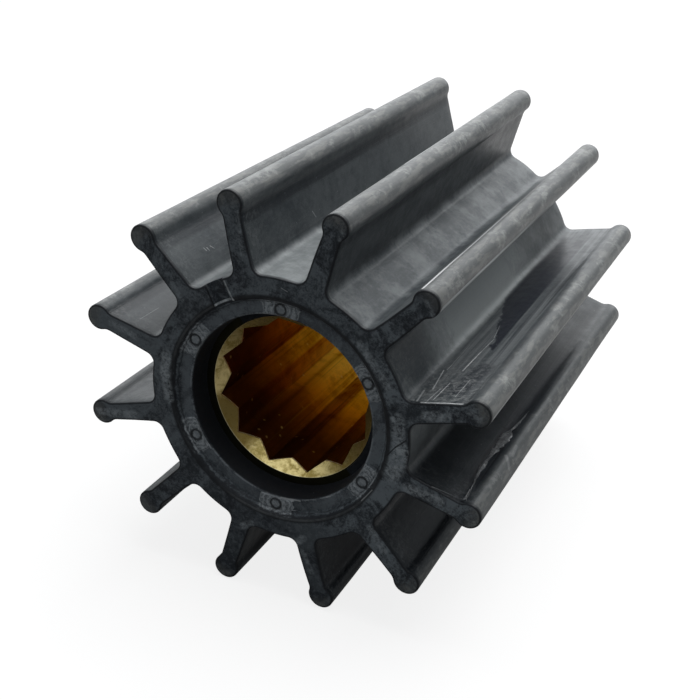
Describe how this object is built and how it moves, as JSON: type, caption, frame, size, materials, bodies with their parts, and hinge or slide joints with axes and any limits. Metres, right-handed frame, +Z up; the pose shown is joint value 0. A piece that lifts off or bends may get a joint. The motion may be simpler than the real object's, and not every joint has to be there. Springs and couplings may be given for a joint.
{
  "type": "rubber pump impeller",
  "caption": "Flexible pump impeller: straight rubber blades with beaded tips around a hub that is moulded onto a brass insert with a splined bore.",
  "frame": {"origin": "on the surface that the impeller lies on, below the middle of its axis", "axes": "+Z up; the impeller's axis runs along Y and its marked front end faces -Y; it lies on the two blades either side of -Z"},
  "size_m": [0.092, 0.114, 0.092],
  "materials": {
    "rubber": "moulded black rubber, satin, dusty grey scuffs",
    "brass": "machined brass, bright in the countersink, brown and stained in the bore"
  },
  "bodies": {
    "root": {"rubber_impeller": "rubber", "spline_insert": "brass"}
  },
  "joints": []
}
